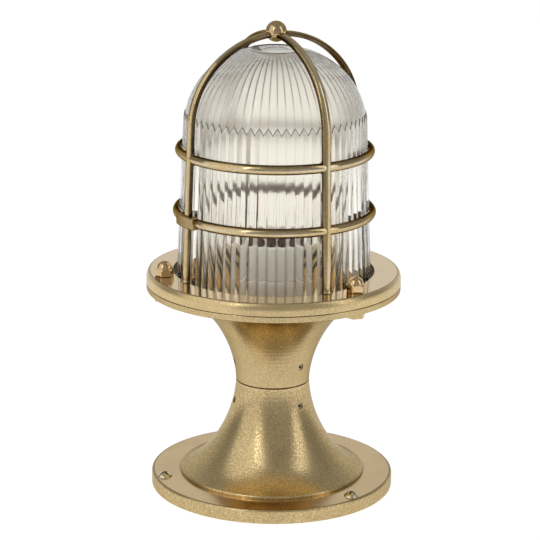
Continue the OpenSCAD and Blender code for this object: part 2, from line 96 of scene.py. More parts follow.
def shaped_spin(rows, steps, layers=()):
    """Spins one point for each row, then puts every point where its row's function of the turn says.
    The function gives radius, height and one value for each layer."""
    bm = bmesh.new()
    made = [bm.verts.layers.float.new(layer) for layer in layers]
    spin(bm, chain(bm, [(1, i) for i in range(len(rows))]), steps)
    bmesh.ops.remove_doubles(bm, verts=bm.verts, dist=1e-5)
    for v in bm.verts:
        turn = math.atan2(v.co.y, v.co.x)
        r, z, *values = rows[round(v.co.z)](turn)
        v.co = (r * math.cos(turn), r * math.sin(turn), z)
        for layer, value in zip(made, values):
            v[layer] = value
    close_up(bm)
    return bm


def smoothstep(low, high, x):
    t = min(1.0, max(0.0, (x - low) / (high - low)))
    return t * t * (3 - 2 * t)


# Reeded glass
REEDS, REED_STEPS = 66, 14
REED_DEPTH, REED_FALL, LEDGE, LINE_DEPTH = 0.95, 0.7, 0.4, 0.2
REED_ROUND = 0.5
GLASS_FOOT, GLASS_TOP, REED_TOP = 57.15, 53.3, 223.2
DOME_Z, DOME_RISE, DOME_POWER = 214.0, 51.0, 2.18
GLASS_WALL, INNER_Z = 4.0, 221.0
FOOT_R, FOOT_Z, FOOT_T, FOOT_ROUND = 61.5, 126.4, 2.9, 0.3
BUTTON_R = 15.8
BUTTON = [(0, 0, 0.6), (0.12, 0.3, 0.3), (0.5, 0.45, 0), (1.6, 0.47, 0), (1.9, 0.45, 0.7), (2.3, 0.1, 0.9),
          (2.9, 0.05, 0.5), (3.2, 0.05, 0), (4.7, 0.05, 0), (5.0, 0.05, 0.7), (5.9, 0.05, 0.7), (6.2, 0.05, 0),
          (8.2, 0.05, 0), (8.5, 0.05, 0.5), (9.3, -0.28, 0.8), (9.7, -0.3, 0), (BUTTON_R, -0.3, 0)]
DOME_ROWS, REED_ROWS, WALL_ROWS, INNER_ROWS = 34, 12, 6, 18
# Darkness of the painted shade lines: on the ledge where the reeds end, in the reed valleys, and extra low down at the
# reeds' feet.
LEDGE_SHADE, VALLEY_SHADE, FOOT_SHADE = 1.0, 0.25, 0.55


def reed_drop(across):
    """Drop from a reed's crest to its round face."""
    return REED_DEPTH * (1 - math.sqrt(1 - REED_ROUND * across ** 2)) / (1 - math.sqrt(1 - REED_ROUND))


def dome_point(a, r, rise, foot=DOME_Z):
    return r * math.cos(a) ** (2 / DOME_POWER), foot + rise * math.sin(a) ** (2 / DOME_POWER)


DOME_R = (GLASS_TOP - LEDGE) / (1 - ((REED_TOP - DOME_Z) / DOME_RISE) ** DOME_POWER) ** (1 / DOME_POWER)


def dome_angle(r):
    return math.acos((r / DOME_R) ** (DOME_POWER / 2))


def reed_end(across):
    return dome_angle(GLASS_TOP - LEDGE - REED_FALL * abs(across))


def glass_radius(z):
    return GLASS_FOOT + (GLASS_TOP - GLASS_FOOT) * (z - CLAMP_TOP) / (REED_TOP - CLAMP_TOP)


def dullness(z):
    """The inside is a little dull half way up, dullest round the shoulder and dull under the crown."""
    shoulder = smoothstep(207, 219, z) * (1 - smoothstep(236, 250, z))
    return 0.4 * smoothstep(165, 185, z) + 0.6 * smoothstep(190, 212, z) + 0.2 * shoulder


def valley_share(across, width):
    return max(0.0, (abs(across) - 1 + width) / width)


def glass_rows():
    """Rows from the crown down the outside and back up the inside. Each is a function of the turn that gives
    radius, height, how dark the painted shade line along a groove, ledge or button ring is there, and how dull the
    surface is."""
    pitch = 2 * math.pi / REEDS
    neck_z = FOOT_Z + FOOT_T
    button_a = dome_angle(BUTTON_R)
    button_z = dome_point(button_a, DOME_R, DOME_RISE)[1]

    def over_reed(place):
        return lambda turn: place(2 * ((turn / pitch) % 1.0) - 1)

    def reed(share, mark):
        def place(across):
            foot = glass_radius(neck_z) - reed_drop(across)
            top_r, top_z = dome_point(reed_end(across), DOME_R, DOME_RISE)
            r, z = foot + (top_r + LEDGE - foot) * share, neck_z + (top_z - neck_z) * share
            low = 1 - smoothstep(155, 172, z)
            # Painted shade in the reed valleys, darker and wider low down.
            valley = (VALLEY_SHADE + FOOT_SHADE * low) * valley_share(across, 0.2 + 0.3 * low)
            return r, z, max(mark, valley), 0.0
        return over_reed(place)

    def dome(share, mark=0.0):
        def place(across):
            start = reed_end(across) + 0.007
            a = start + (button_a - start) * share
            r, z = dome_point(a, DOME_R, DOME_RISE)
            line = valley_share(across, 0.2 + 0.28 * share)
            depth = LINE_DEPTH * line * min(1.0, 4 * share, 12 * (1 - share))
            # Painted shade along the dome's grooves.
            dark = line * (0.4 + 0.6 * smoothstep(0.1, 0.35, share)) * min(1.0, 16 * (1 - share))
            return r - depth * math.cos(a), z - depth * math.sin(a), max(mark, dark), 0.0
        return over_reed(place)

    def ring(r, z, mark=0.0, dull=0.0):
        return lambda turn: (r, z, mark, dull)

    # The button's rings carry painted shade lines, given in the third column.
    rows = [ring(BUTTON_R - inward, button_z + up, mark) for inward, up, mark in reversed(BUTTON)]
    rows += [dome(i / DOME_ROWS) for i in range(DOME_ROWS - 1, 0, -1)]
    rows += [dome(0.008), dome(0.0, LEDGE_SHADE), reed(1.0, LEDGE_SHADE), reed(0.9945, 0.0)]
    rows += [reed(i / REED_ROWS, 0.0) for i in range(REED_ROWS - 1, -1, -1)]
    low, high = FOOT_Z + FOOT_ROUND, neck_z - FOOT_ROUND
    rows += [ring(r, z) for r, z in ((FOOT_R - FOOT_ROUND, neck_z), (FOOT_R, high), (FOOT_R, low),
                                     (FOOT_R - FOOT_ROUND, FOOT_Z), (GLASS_FOOT - GLASS_WALL, FOOT_Z))]
    inner_r, inner_rise = glass_radius(INNER_Z) - GLASS_WALL, button_z - INNER_Z - GLASS_WALL
    inner_foot = GLASS_FOOT - GLASS_WALL
    for i in range(1, WALL_ROWS):
        share = i / WALL_ROWS
        z = FOOT_Z + (INNER_Z - FOOT_Z) * share
        rows.append(ring(inner_foot + (inner_r - inner_foot) * share, z, 0.0, dullness(z)))
    for i in range(INNER_ROWS + 1):
        r, z = dome_point(0.5 * math.pi * i / INNER_ROWS, inner_r, inner_rise, INNER_Z)
        rows.append(ring(r, z, 0.0, dullness(z)))
    rows[-1] = ring(0.0, INNER_Z + inner_rise, 0.0, 1.0)
    return rows


def reeded_glass(finish):
    bm = shaped_spin(glass_rows(), REEDS * REED_STEPS, ["painted_groove_shade", "dull"])
    turn_about_axis(bm, bm.verts, -1.5)
    return finish_piece(bm, "reeded_glass_dome", "glass", finish, ["glass_dome"], sharp=22)


# Guard
CROWN_RADIUS = ((BAR_WIDTH / 2) ** 2 + BAR_CROWN ** 2) / (2 * BAR_CROWN)
# A bar's attribute that is 1 at its crown, where wear and a painted highlight go, and 0 at its edges, which get
# tarnish and painted shade.
WORN_CROWN_SHEEN = "worn_crown_sheen"


def half_round(steps=14, edge=0.35):
    """The bar's section as (across, out, worn_crown_sheen), with softened edges at its flat back. The last value is 1
    at the crown, which gets wear and a painted highlight, and 0 at the edges, which get tarnish and painted shade.
    """
    half, back = BAR_WIDTH / 2, -BAR_DEPTH / 2
    middle = BAR_DEPTH / 2 - CROWN_RADIUS
    limit = math.asin(half / CROWN_RADIUS)
    section = [(-half, back + edge, 0), (-half + edge, back, 0), (half - edge, back, 0), (half, back + edge, 0)]
    for i in range(steps + 1):
        share = 1 - 2 * i / steps
        a = limit * share
        section.append((CROWN_RADIUS * math.sin(a), middle + CROWN_RADIUS * math.cos(a), 1 - share ** 2))
    return section


def rib_line_radius(z):
    return RIB_FOOT + (RIB_ARCH - RIB_FOOT) * (z - CLAMP_TOP) / (ARCH_Z - CLAMP_TOP)


def rib_stations(steps=44):
    """Places along a rib, as (radius, height, lean, growth)."""
    foot = ((0.02, 1.32), (0.2, 1.22), (0.5, 1.13), (0.9, 1.05), (1.5, 1.0), (40, 1.0), (70, 1.0))
    stations = [(rib_line_radius(CLAMP_TOP + up), CLAMP_TOP + up, 0.0, growth) for up, growth in foot]
    for i in range(steps + 1):
        a = 0.5 * math.pi * i / steps
        r = RIB_ARCH * math.cos(a)
        if r > BALL_RADIUS * 0.6:
            lean = math.atan2(RIB_ARCH * math.sin(a), ARCH_RISE * math.cos(a))
            stations.append((r, ARCH_Z + ARCH_RISE * math.sin(a), lean, 1.0))
    return stations


def station_matrix(r, z, lean, growth):
    """Places a section in the plane y = 0, and makes it grow from the bar's flat back."""
    back = Matrix.Translation((BAR_DEPTH / 2, 0, 0))
    grown = back.inverted() @ Matrix.Scale(growth, 4) @ back
    return Matrix.Translation((r, 0, z)) @ Matrix.Rotation(-lean, 4, "Y") @ grown


def guard_rib(k, finish):
    bm = bmesh.new()
    worn_crown_sheen = bm.verts.layers.float.new(WORN_CROWN_SHEEN)
    stations = [station_matrix(*s) for s in rib_stations()]
    corners = []
    for across, out, value in half_round():
        corners.append(bm.verts.new((out, across, 0)))
        corners[-1][worn_crown_sheen] = value
    face = bm.faces.new(corners)
    bmesh.ops.transform(bm, matrix=stations[0], verts=bm.verts)
    for before, after in zip(stations, stations[1:]):
        made = bmesh.ops.extrude_face_region(bm, geom=[face])["geom"]
        face = next(g for g in made if isinstance(g, bmesh.types.BMFace))
        bmesh.ops.transform(bm, matrix=after @ before.inverted(), verts=face.verts[:])
    close_up(bm)
    turn_about_axis(bm, bm.verts, RIB_TURNS[k])
    return finish_piece(bm, f"half_round_rib_{k + 1}", "guard", finish, [f"guard_rib_{k + 1}"])


WEB = [(-1.4, 0), (-1.4, 4.5), (-0.9, 4.55), (-0.45, 4.35), (-0.1, 3.95), (0.1, 3.4), (0.2, 0)]


def add_web(bm, middle, z, turn):
    """The small fillet of braze that fills the corners where a rib crosses a ring."""
    first = len(bm.verts)
    profile = chain(bm, [(middle + out, z + reach) for out, reach in WEB])
    spin(bm, profile, 40, centre=(middle, 0, z), axis=(1, 0, 0))
    bm.verts.ensure_lookup_table()
    turn_about_axis(bm, bm.verts[first:], turn)


def guard_ring(name, finish):
    z = RING_Z[name]
    middle = rib_line_radius(z) - RING_SUNK
    bm = bmesh.new()
    worn_crown_sheen = bm.verts.layers.float.new(WORN_CROWN_SHEEN)
    section = half_round()
    start = chain(bm, [(middle + out, z + across) for across, out, value in section], closed=True)
    for v, (across, out, value) in zip(start, section):
        v[worn_crown_sheen] = value
    spin(bm, start, 192)
    for turn in RIB_TURNS:
        add_web(bm, middle, z, turn)
    close_up(bm)
    return finish_piece(bm, "half_round_" + name, "guard", finish, [name])


PAD_ANGLE, PAD_HALF, PAD_PROUD = 18.2, 3.6, 1.25


def pad(finish):
    z = RING_Z["lower_guard_ring"]
    crown = rib_line_radius(z) + BAR_DEPTH / 2
    front, back = crown + PAD_PROUD, crown - BAR_DEPTH
    section = [(back, z - PAD_HALF), (front - 0.5, z - PAD_HALF), (front, z - PAD_HALF + 0.7), (front + 0.12, z),
               (front, z + PAD_HALF - 0.7), (front - 0.5, z + PAD_HALF), (back, z + PAD_HALF)]
    bm = bmesh.new()
    worn_crown_sheen = bm.verts.layers.float.new(WORN_CROWN_SHEEN)
    start = chain(bm, section, closed=True)
    made = spin(bm, start, 10, PAD_ANGLE)["geom_last"]
    for geom in (start, made):
        bm.faces.new([g for g in geom if isinstance(g, bmesh.types.BMVert)])
    turn_about_axis(bm, bm.verts, RIB_TURNS[1] - PAD_ANGLE / 2)
    bmesh.ops.recalc_face_normals(bm, faces=bm.faces)
    ends = [e for e in bm.edges if e.calc_face_angle(0) > math.radians(60)]
    bmesh.ops.bevel(bm, geom=ends, offset=0.45, offset_type="OFFSET", affect="EDGES", segments=3, profile=0.5,
                    material=-1)
    for v in bm.verts:
        v[worn_crown_sheen] = 0.6
    return finish_piece(bm, "bare_pad", "guard", finish, ["plain_pad"])


BALL_R, BALL_Z = 6.1, 273.6


def ball(finish):
    bm = bmesh.new()
    bmesh.ops.create_uvsphere(bm, u_segments=72, v_segments=36, radius=BALL_R)
    bmesh.ops.translate(bm, verts=bm.verts, vec=(0, 0, BALL_Z))
    return finish_piece(bm, "round_ball", "guard", finish, ["ball_finial"])


# Nuts
NUT_FLAT, NUT_HIGH, NUT_GAP, NUT_DOME = 5.0, 4.4, 0.15, 4.75
NUT_STEPS, DOME_STEPS = 96, 14


def hexagon(turn):
    sixth = math.pi / 3
    return min(NUT_FLAT / math.cos(turn % sixth - sixth / 2), 5.71)


def nut_rows():
    floor = CLAMP_TOP + NUT_GAP

    def flats(z, inset=0.0):
        return lambda turn: (hexagon(turn) - inset, floor + z)

    def chamfered(inset):
        def place(turn):
            r = hexagon(turn) - inset
            return r, floor + NUT_HIGH * min(1.0, 1 - (r - 5.05) / 3.35)
        return place

    def ring(r, z):
        return lambda turn: (r, floor + z)

    rows = [ring(0, 0), flats(0, 0.3), flats(0.12, 0.1), flats(0.3), chamfered(0.0), chamfered(0.12),
            ring(4.97, NUT_HIGH + 0.01)]
    for i in range(DOME_STEPS + 1):
        a = math.radians(4) + math.radians(86) * i / DOME_STEPS
        rows.append(ring(NUT_DOME * math.cos(a), NUT_HIGH - 0.3 + NUT_DOME * math.sin(a)))
    rows[-1] = ring(0, NUT_HIGH - 0.3 + NUT_DOME)
    return rows


def cap_nut(k, finish):
    bm = shaped_spin(nut_rows(), NUT_STEPS)
    bmesh.ops.translate(bm, verts=bm.verts, vec=(BOLT_RADIUS, 0, 0))
    turn_about_axis(bm, bm.verts, BOLT_TURNS[k])
    return finish_piece(bm, f"domed_nut_{k + 1}", f"nut_{k + 1}", finish, [f"cap_nut_{k + 1}"],
                        sharp=26)


# Material helpers
def node(tree, kind, **values):
    """A shader node. Names in capitals are input sockets, the others are the node's own settings."""
    made = tree.nodes.new(kind)
    for key, value in values.items():
        if key[0].isupper():
            made.inputs[key.replace("_", " ")].default_value = value
        else:
            setattr(made, key, value)
    return made


def math_node(tree, operation, a, b=None, c=None, clamp=False):
    made = node(tree, "ShaderNodeMath", operation=operation, use_clamp=clamp)
    for socket, value in zip(made.inputs, (a, b, c)):
        if value is None:
            continue
        if isinstance(value, (int, float)):
            socket.default_value = value
        else:
            tree.links.new(value, socket)
    return made.outputs[0]


def map_range(tree, value, low, high, to_low=0.0, to_high=1.0):
    made = node(tree, "ShaderNodeMapRange", interpolation_type="SMOOTHSTEP")
    for i, number in enumerate((low, high, to_low, to_high), 1):
        made.inputs[i].default_value = number
    tree.links.new(value, made.inputs[0])
    return made.outputs[0]


def mix_colour(tree, factor, a, b, blend="MIX"):
    made = node(tree, "ShaderNodeMix", data_type="RGBA", blend_type=blend)
    for socket, value in ((made.inputs[0], factor), (made.inputs[6], a), (made.inputs[7], b)):
        if isinstance(value, (int, float)):
            socket.default_value = value
        elif isinstance(value, tuple):
            socket.default_value = (*value, 1.0)
        else:
            tree.links.new(value, socket)
    return made.outputs[2]


def new_group(name, inputs, outputs):
    group = bpy.data.node_groups.new(name, "ShaderNodeTree")
    for label, default in inputs:
        socket = group.interface.new_socket(label, in_out="INPUT", socket_type="NodeSocketFloat")
        socket.default_value = default
    for label, kind in outputs:
        group.interface.new_socket(label, in_out="OUTPUT", socket_type=kind)
    return group, group.nodes.new("NodeGroupInput"), group.nodes.new("NodeGroupOutput")


def noise(tree, coordinates, scale, detail=2.0, rough=0.5):
    made = node(tree, "ShaderNodeTexNoise", Detail=detail, Roughness=rough)
    tree.links.new(coordinates, made.inputs["Vector"])
    if isinstance(scale, (int, float)):
        made.inputs["Scale"].default_value = scale
    else:
        tree.links.new(scale, made.inputs["Scale"])
    return made.outputs[0]


def metal_surface_group():
    """Grain, clouds and small pits of cast and handled brass."""
    tree, given, put = new_group(
        "metal_surface",
        [("Grain Scale", 700.0), ("Cloud Scale", 45.0), ("Pits", 0.5)],
        [("Grain", "NodeSocketFloat"), ("Cloud", "NodeSocketFloat"), ("Height", "NodeSocketFloat"),
         ("Pit", "NodeSocketFloat")])
    place = tree.nodes.new("ShaderNodeTexCoord").outputs["Object"]
    fine = noise(tree, place, given.outputs["Grain Scale"], 3.0, 0.65)
    grain = map_range(tree, fine, 0.38, 0.62)
    cloud = map_range(tree, noise(tree, place, given.outputs["Cloud Scale"], 4.0, 0.6), 0.3, 0.7)
    cells = node(tree, "ShaderNodeTexVoronoi", Scale=170.0)
    tree.links.new(place, cells.inputs["Vector"])
    spot = map_range(tree, cells.outputs["Distance"], 0.05, 0.11, 1.0, 0.0)
    separate = node(tree, "ShaderNodeSeparateColor")
    tree.links.new(cells.outputs["Color"], separate.inputs[0])
    chosen = math_node(tree, "LESS_THAN", separate.outputs[0], math_node(tree, "MULTIPLY", given.outputs["Pits"], 0.2))
    pit = math_node(tree, "MULTIPLY", spot, chosen)
    height = math_node(tree, "SUBTRACT", fine, pit)
    for label, value in (("Grain", grain), ("Cloud", cloud), ("Height", height), ("Pit", pit)):
        tree.links.new(value, put.inputs[label])
    return tree


def turned_band_group():
    """A soft mask round the axis, 1 at the given radius and height and 0 at the given distance from them."""
    tree, given, put = new_group(
        "turned_band", [("Radius", 0.05), ("Height", 0.01), ("Reach", 0.001)], [("Mask", "NodeSocketFloat")])
    separate = node(tree, "ShaderNodeSeparateXYZ")
    tree.links.new(tree.nodes.new("ShaderNodeTexCoord").outputs["Object"], separate.inputs[0])
    x, y, z = separate.outputs
    radius = math_node(tree, "SQRT", math_node(tree, "ADD", math_node(tree, "MULTIPLY", x, x),
                                               math_node(tree, "MULTIPLY", y, y)))
    across = math_node(tree, "SUBTRACT", radius, given.outputs["Radius"])
    up = math_node(tree, "SUBTRACT", z, given.outputs["Height"])
    away = math_node(tree, "SQRT", math_node(tree, "ADD", math_node(tree, "MULTIPLY", across, across),
                                             math_node(tree, "MULTIPLY", up, up)))
    share = math_node(tree, "DIVIDE", away, given.outputs["Reach"])
    tree.links.new(math_node(tree, "SUBTRACT", 1.0, share, clamp=True), put.inputs["Mask"])
    return tree


METAL_SURFACE = metal_surface_group()
TURNED_BAND = turned_band_group()


def group_node(tree, group, **values):
    made = tree.nodes.new("ShaderNodeGroup")
    made.node_tree = group
    for key, value in values.items():
        made.inputs[key.replace("_", " ")].default_value = value
    return made


def new_material(name, **values):
    finish = bpy.data.materials.new(name)
    finish.use_nodes = True
    tree = finish.node_tree
    tree.nodes.clear()
    shader = tree.nodes.new("ShaderNodeBsdfPrincipled")
    out = tree.nodes.new("ShaderNodeOutputMaterial")
    tree.links.new(shader.outputs[0], out.inputs[0])
    for key, value in values.items():
        shader.inputs[key.replace("_", " ")].default_value = value
    return finish, tree, shader


def facing_up(tree, low=0.9, high=0.97):
    separate = node(tree, "ShaderNodeSeparateXYZ")
    tree.links.new(tree.nodes.new("ShaderNodeNewGeometry").outputs["Normal"], separate.inputs[0])
    return map_range(tree, separate.outputs[2], low, high)


def attribute(tree, name):
    return node(tree, "ShaderNodeAttribute", attribute_name=name).outputs["Fac"]


def mix_value(tree, factor, a, b):
    made = node(tree, "ShaderNodeMix", data_type="FLOAT")
    for socket, value in ((made.inputs[0], factor), (made.inputs[2], a), (made.inputs[3], b)):
        if isinstance(value, (int, float)):
            socket.default_value = value
        else:
            tree.links.new(value, socket)
    return made.outputs[0]


def screw_recess(tree):
    """A mask for painted shade inside the cross recesses of the three foot screws."""
    place = tree.nodes.new("ShaderNodeTexCoord").outputs["Object"]
    nearest = None
    for turn in BOLT_TURNS:
        a = math.radians(turn)
        away = node(tree, "ShaderNodeVectorMath", operation="DISTANCE")
        away.inputs[1].default_value = (0.066 * math.cos(a), 0.066 * math.sin(a), 0.0078)
        tree.links.new(place, away.inputs[0])
        value = away.outputs["Value"]
        nearest = value if nearest is None else math_node(tree, "MINIMUM", nearest, value)
    return map_range(tree, nearest, 0.0019, 0.0026, 1.0, 0.0)


# Tarnish, also used as painted shade; a painted highlight for bar crowns; painted light for level tops.
TARNISH_AND_SHADE, RIDGE_HIGHLIGHT, LIT_TOP_GOLD = (0.07, 0.042, 0.018), (0.95, 0.86, 0.64), (0.92, 0.72, 0.46)


def brass(name, light, dark, rough, rough_top=None, grain=700.0, bump=0.3, depth=0.35, cloud=0.3, pits=0.5,
            bands=(), crown_layer=None, recess=None, sides=(1.0, 1.0, 1.0)):
    """light and dark are the two tones, rough and rough_top the roughness of walls and of level tops.
    bands are (radius, height, reach, strength, colour) round the axis: seam lines, painted shade and painted
    highlights. crown_layer names the attribute that is 1 at a bar's crown, where a painted highlight goes, and 0 at
    its edges, which get tarnish and painted shade. sides is the tint of the metal where it is seen edge on."""
    finish, tree, shader = new_material(name, Metallic=1.0, Specular_Tint=(*sides, 1.0))
    surface = group_node(tree, METAL_SURFACE, Grain_Scale=grain, Pits=pits)
    tone = math_node(tree, "MULTIPLY", surface.outputs["Grain"], depth)
    tone = math_node(tree, "MULTIPLY_ADD", surface.outputs["Cloud"], cloud, tone)
    colour = mix_colour(tree, tone, light, dark)
    if crown_layer:
        # Toward the bar's edges the metal turns to tarnish, which is also painted shade.
        edge = map_range(tree, attribute(tree, crown_layer), 0.1, 0.95, 1.0, 0.0)
        patchy = math_node(tree, "MULTIPLY_ADD", surface.outputs["Cloud"], 0.25, 0.8)
        colour = mix_colour(tree, math_node(tree, "MULTIPLY", edge, patchy, clamp=True), colour, TARNISH_AND_SHADE)
        # A painted highlight along the bar's crown.
        ridge = map_range(tree, attribute(tree, crown_layer), 0.8, 1.0, 0.0, 0.7)
        colour = mix_colour(tree, math_node(tree, "MULTIPLY", ridge, surface.outputs["Cloud"]), colour, RIDGE_HIGHLIGHT)
    level = facing_up(tree)
    # Level tops are painted a lighter gold, as if lit from above.
    if rough_top is not None:
        colour = mix_colour(tree, math_node(tree, "MULTIPLY", level, 0.8), colour, LIT_TOP_GOLD)
    colour = mix_colour(tree, math_node(tree, "MULTIPLY", surface.outputs["Pit"], 0.7), colour, TARNISH_AND_SHADE)
    for radius, height, reach, strength, tint in bands:
        band = group_node(tree, TURNED_BAND, Radius=radius * MM, Height=height * MM, Reach=reach * MM)
        amount = math_node(tree, "MULTIPLY", band.outputs[0], strength, clamp=True)
        colour = mix_colour(tree, amount, colour, tint)
    if recess:
        # Painted shade in the screws' cross recesses.
        colour = mix_colour(tree, math_node(tree, "MULTIPLY", recess(tree), 0.75), colour, TARNISH_AND_SHADE)
    tree.links.new(colour, shader.inputs["Base Color"])
    roughness = map_range(tree, surface.outputs["Grain"], 0.0, 1.0, rough * 0.82, rough * 1.18)
    if rough_top is not None:
        top = map_range(tree, surface.outputs["Cloud"], 0.0, 1.0, rough_top * 0.8, rough_top * 1.3)
        roughness = mix_value(tree, level, roughness, top)
    tree.links.new(roughness, shader.inputs["Roughness"])
    relief = node(tree, "ShaderNodeBump", Distance=0.00006, Strength=bump)
    if rough_top is not None:
        strength = math_node(tree, "MULTIPLY_ADD", level, -0.85 * bump, bump)
        tree.links.new(strength, relief.inputs["Strength"])
    tree.links.new(surface.outputs["Height"], relief.inputs["Height"])
    tree.links.new(relief.outputs[0], shader.inputs["Normal"])
    return finish


# Materials
BRASS_LIGHT, BRASS_DARK = (0.86, 0.66, 0.35), (0.58, 0.435, 0.215)
# A seam brown that also serves as painted shade along creases and edges, and a gold for a painted highlight line.
SEAM_AND_SHADE_BROWN, WAIST_HIGHLIGHT_GOLD = (0.16, 0.09, 0.035), (0.95, 0.84, 0.6)
WAIST_RADIUS, WAIST_HEIGHT = 21.6, 64.9

# Bell bands: painted shade in the crease at the bell's foot and near the base's outer top edge, and at the waist the
# dark seam line, also painted shade, with a painted highlight under it.
bell_brass = brass("grained_bell_brass", BRASS_LIGHT, BRASS_DARK, 0.26, 0.2, grain=950, bump=1.0, depth=1.0,
                   pits=0.3, sides=(0.78, 0.74, 0.66),
                   bands=[(55.4, 8.4, 0.6, 0.45, SEAM_AND_SHADE_BROWN), (71.1, 8.3, 0.5, 1.1, SEAM_AND_SHADE_BROWN),
                          (WAIST_RADIUS, WAIST_HEIGHT - 0.9, 0.5, 0.9, WAIST_HIGHLIGHT_GOLD),
                          (WAIST_RADIUS, WAIST_HEIGHT, 0.5, 1.2, SEAM_AND_SHADE_BROWN)])
# The trumpet's waist band is the dark seam line, also painted shade.
trumpet_brass = brass("satin_trumpet_brass", (0.78, 0.605, 0.32), (0.54, 0.41, 0.205), 0.25, 0.2, grain=1000, bump=0.4,
                      depth=0.5, pits=0.9, sides=(0.6, 0.55, 0.46), bands=[(WAIST_RADIUS, WAIST_HEIGHT, 0.5, 1.2, SEAM_AND_SHADE_BROWN)])
# Flange bands: painted shade at the hole's edge round the glass and near the ring's outer top edge.
flange_brass = brass("polished_flange_brass", BRASS_LIGHT, BRASS_DARK, 0.3, 0.13, grain=1000, bump=0.35, depth=0.35,
                     pits=0.4, bands=[(59.2, 132.4, 0.55, 1.0, TARNISH_AND_SHADE), (73.1, 132.4, 0.5, 1.1, SEAM_AND_SHADE_BROWN)])
guard_brass = brass("worn_and_sheen_guard_brass", (0.8, 0.61, 0.33), (0.42, 0.3, 0.14), 0.12, grain=1100, bump=0.18,
                    depth=0.5, cloud=0.35, pits=0.6, crown_layer=WORN_CROWN_SHEEN, sides=(0.35, 0.29, 0.2))
bright_brass = brass("polished_brass", (0.86, 0.62, 0.36), (0.6, 0.4, 0.19), 0.07, grain=900, bump=0.06, depth=0.3,
                     pits=0.2)
ball_brass = brass("polished_ball_brass", (0.78, 0.6, 0.33), (0.45, 0.33, 0.16), 0.08, grain=700, bump=0.08,
                   depth=0.5, pits=0.5, sides=(0.35, 0.29, 0.2))
screw_brass = brass("foot_screw_brass", (0.95, 0.84, 0.6), (0.7, 0.57, 0.35), 0.22, grain=900, bump=0.15, depth=0.4,
                    pits=0.4, recess=screw_recess)
steel_finish = brass("zinc_plated_steel", (0.6, 0.57, 0.5), (0.42, 0.39, 0.32), 0.3, grain=1200, bump=0.2)


def rubber(name, dark, light):
    finish, tree, shader = new_material(name)
    place = tree.nodes.new("ShaderNodeTexCoord").outputs["Object"]
    dust = noise(tree, place, 700.0, 4.0)
    tree.links.new(mix_colour(tree, dust, dark, light), shader.inputs["Base Color"])
    tree.links.new(map_range(tree, dust, 0.2, 0.8, 0.5, 0.72), shader.inputs["Roughness"])
    return finish


def porcelain():
    finish, tree, shader = new_material("white_porcelain", Coat_Weight=0.6, Coat_Roughness=0.05)
    place = tree.nodes.new("ShaderNodeTexCoord").outputs["Object"]
    cloud = noise(tree, place, 60.0, 3.0)
    tree.links.new(mix_colour(tree, cloud, (0.95, 0.94, 0.91), (0.91, 0.9, 0.86)), shader.inputs["Base Color"])
    tree.links.new(map_range(tree, cloud, 0.2, 0.8, 0.22, 0.32), shader.inputs["Roughness"])
    return finish


def clear_glass():
    """Pressed glass. Its inside is dull under the crown, and fine dark lines of painted shade run along the mould's
    grooves, ledge and button rings.
    """
    finish, tree, shader = new_material("clear_pressed_glass", Transmission_Weight=1.0, IOR=1.42)
    place = tree.nodes.new("ShaderNodeTexCoord").outputs["Object"]
    flow = noise(tree, place, 55.0, 2.0)
    clear = mix_colour(tree, flow, (0.985, 0.96, 0.9), (0.975, 0.948, 0.885))
    # Painted shade: the glass turns near black where the painted_groove_shade attribute is 1.
    line = attribute(tree, "painted_groove_shade")
    tree.links.new(mix_colour(tree, line, clear, (0.05, 0.045, 0.03)), shader.inputs["Base Color"])
    faint = map_range(tree, noise(tree, place, 900.0, 3.0), 0.3, 0.8, 0.0, 0.03)
    dull = math_node(tree, "MULTIPLY_ADD", attribute(tree, "dull"), 0.3, faint)
    tree.links.new(dull, shader.inputs["Roughness"])
    ripple = node(tree, "ShaderNodeBump", Distance=0.0003, Strength=0.25)
    tree.links.new(noise(tree, place, 120.0, 2.0), ripple.inputs["Height"])
    tree.links.new(ripple.outputs[0], shader.inputs["Normal"])
    return finish


black_rubber = rubber("black_rubber", (0.014, 0.014, 0.015), (0.035, 0.034, 0.032))
brown_rubber = rubber("brown_rubber", (0.13, 0.115, 0.085), (0.2, 0.18, 0.14))
porcelain_finish, glass_finish = porcelain(), clear_glass()

NODE_FINISH = {
    "lower_pedestal": bell_brass, "upper_pedestal": trumpet_brass, "clamp_ring": flange_brass,
    "joining_sleeve": trumpet_brass, "base_screws": screw_brass, "ring_bolts": flange_brass,
    "ball_finial": ball_brass, "earth_screw": bright_brass, "threaded_shell": bright_brass,
    "centre_contact": bright_brass, "lower_grub_screws": steel_finish, "upper_grub_screws": steel_finish,
    "holder_plate": flange_brass, "plate_screws": steel_finish, "holder_screws": steel_finish,
    "cable_grommet": black_rubber, "lower_gasket": brown_rubber, "upper_gasket": brown_rubber,
    "lamp_holder": porcelain_finish,
}
for name, finish in NODE_FINISH.items():
    nodes[name].data.materials.clear()
    nodes[name].data.materials.append(finish)

reeded_glass(glass_finish)
for k in range(4):
    guard_rib(k, guard_brass)
for ring in RING_Z:
    guard_ring(ring, guard_brass)
pad(guard_brass)
ball(ball_brass)
for k in range(3):
    cap_nut(k, bright_brass)


